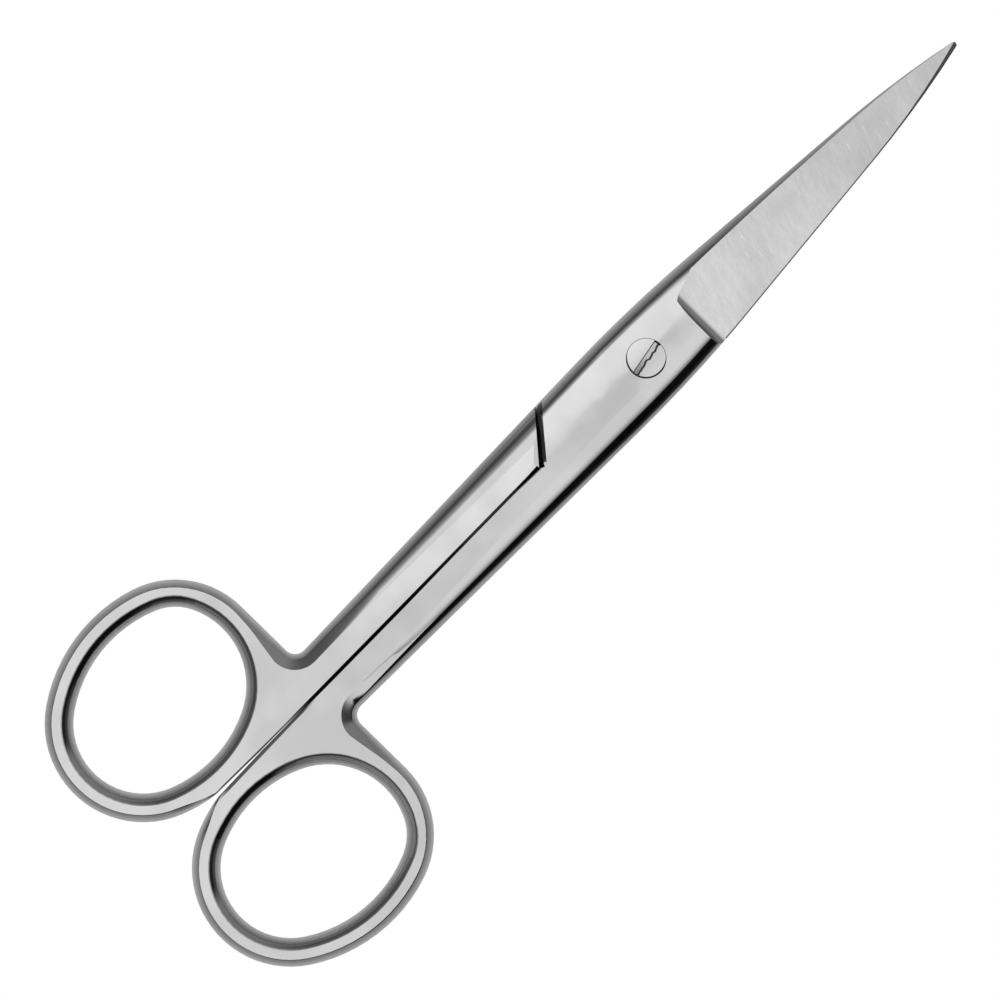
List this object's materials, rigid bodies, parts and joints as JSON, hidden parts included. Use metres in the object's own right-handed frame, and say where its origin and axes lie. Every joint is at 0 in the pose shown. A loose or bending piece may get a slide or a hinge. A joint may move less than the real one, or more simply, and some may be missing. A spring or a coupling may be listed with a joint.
{
  "type": "fine scissors",
  "caption": "Fine straight surgical scissors with oval finger rings, slim shanks, a half-lapped box with a flush slotted screw, and ground blades that taper to a narrow point.",
  "frame": {"origin": "on the pivot axis, in the lap plane between the two halves", "axes": "+X along the closed blades to the tips, +Z along the pivot axis out of the screw's slotted head, +Y to the side of the rear half's finger ring"},
  "size_m": [0.145, 0.0536, 0.0044],
  "materials": {
    "forged_steel": "polished",
    "screw_steel": "gloss"
  },
  "bodies": {
    "rear": {"rear_half": "forged_steel", "pivot_screw": "screw_steel"},
    "front": {"front_half": "forged_steel"}
  },
  "joints": [
    {"name": "blade_pivot", "type": "hinge", "parent": "rear", "child": "front", "pos_m": [0, 0, 0], "axis": [0, 0, 1], "range_deg": [0, 120]}
  ]
}
